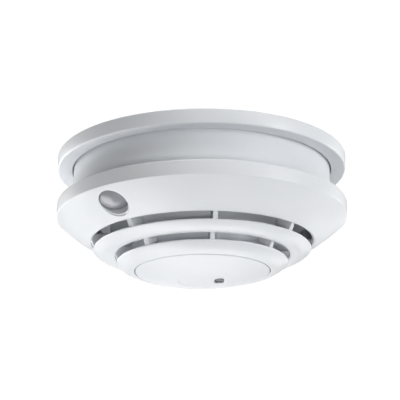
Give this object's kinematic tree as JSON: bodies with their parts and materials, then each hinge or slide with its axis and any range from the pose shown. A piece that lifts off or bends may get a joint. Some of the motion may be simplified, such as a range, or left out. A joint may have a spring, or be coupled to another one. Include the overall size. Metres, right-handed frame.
{
  "type": "ceiling heat detector",
  "caption": "Round ceiling heat detector: bayonet mounting base, louvred cone cover, side sensor window and domed test button over a sprung switch.",
  "frame": {"origin": "centre of the mounting base's ceiling face", "axes": "+Z out of the ceiling face, up into the ceiling; the detector hangs to -Z; -Y is the front, +X the right seen from the front"},
  "size_m": [0.1204, 0.1204, 0.0523],
  "materials": {
    "base_plastic": "semi-gloss white moulding",
    "housing_plastic": "semi-gloss white moulding",
    "cover_plastic": "semi-gloss white moulding",
    "button_plastic": "semi-gloss white moulding",
    "smoked_plastic": "smoked translucent",
    "lens_plastic": "grey satin lens",
    "black_plastic": "matte black",
    "sensor_epoxy": "dark epoxy",
    "guide_plastic": "smooth grey moulding",
    "board_laminate": "green solder mask",
    "led_plastic": "moulded LED",
    "clear_plastic": "clear polished",
    "capacitor_sleeve": "shrink sleeve",
    "ferrite": "matte ferrite",
    "piezo_brass": "bright brass",
    "battery_jacket": "printed-free steel jacket",
    "red_lead": "PVC insulation",
    "black_lead": "PVC insulation",
    "plunger_plastic": "moulded",
    "spring_steel": "drawn wire",
    "screw_steel": "zinc plated"
  },
  "bodies": {
    "base": {"mounting_base": "base_plastic"},
    "head": {"base_housing": "housing_plastic", "front_cover": "cover_plastic", "window_lens": "lens_plastic", "sensor_holder": "black_plastic", "window_sensor": "sensor_epoxy", "sensor_lead": "black_lead", "air_guide": "guide_plastic", "thermistor": "sensor_epoxy", "main_board": "board_laminate", "controller_chip": "black_plastic", "status_led": "led_plastic", "light_pipe": "clear_plastic", "capacitor_1": "capacitor_sleeve", "capacitor_2": "capacitor_sleeve", "inductor": "ferrite", "sounder_cup": "black_plastic", "sounder_cap": "black_plastic", "piezo_disc": "piezo_brass", "battery": "battery_jacket", "battery_clip": "black_plastic", "battery_lead_red": "red_lead", "battery_lead_black": "black_lead", "tact_switch_body": "black_plastic", "button_spring": "spring_steel", "case_screw_1": "screw_steel", "case_screw_2": "screw_steel", "case_screw_3": "screw_steel", "board_screw_1": "screw_steel", "board_screw_2": "screw_steel", "board_screw_3": "screw_steel"},
    "button": {"test_button": "button_plastic", "button_window": "smoked_plastic"},
    "plunger": {"switch_plunger": "plunger_plastic"}
  },
  "joints": [
    {"name": "head_twist", "type": "hinge", "parent": "base", "child": "head", "pos_m": [0, 0, 0], "axis": [0, 0, -1], "range_deg": [0, 18]},
    {"name": "button_press", "type": "slide", "parent": "head", "child": "button", "axis": [0, 0, 1], "range_m": [0, 0.001], "stiffness_N_per_m": 800, "springref_m": -0.001, "deforming": ["button_spring"]},
    {"name": "plunger_press", "type": "slide", "parent": "head", "child": "plunger", "axis": [0, 0, 1], "range_m": [0, 0.001]}
  ],
  "couplings": [
    {"joint": "plunger_press", "follows": "button_press", "ratio": 1}
  ]
}
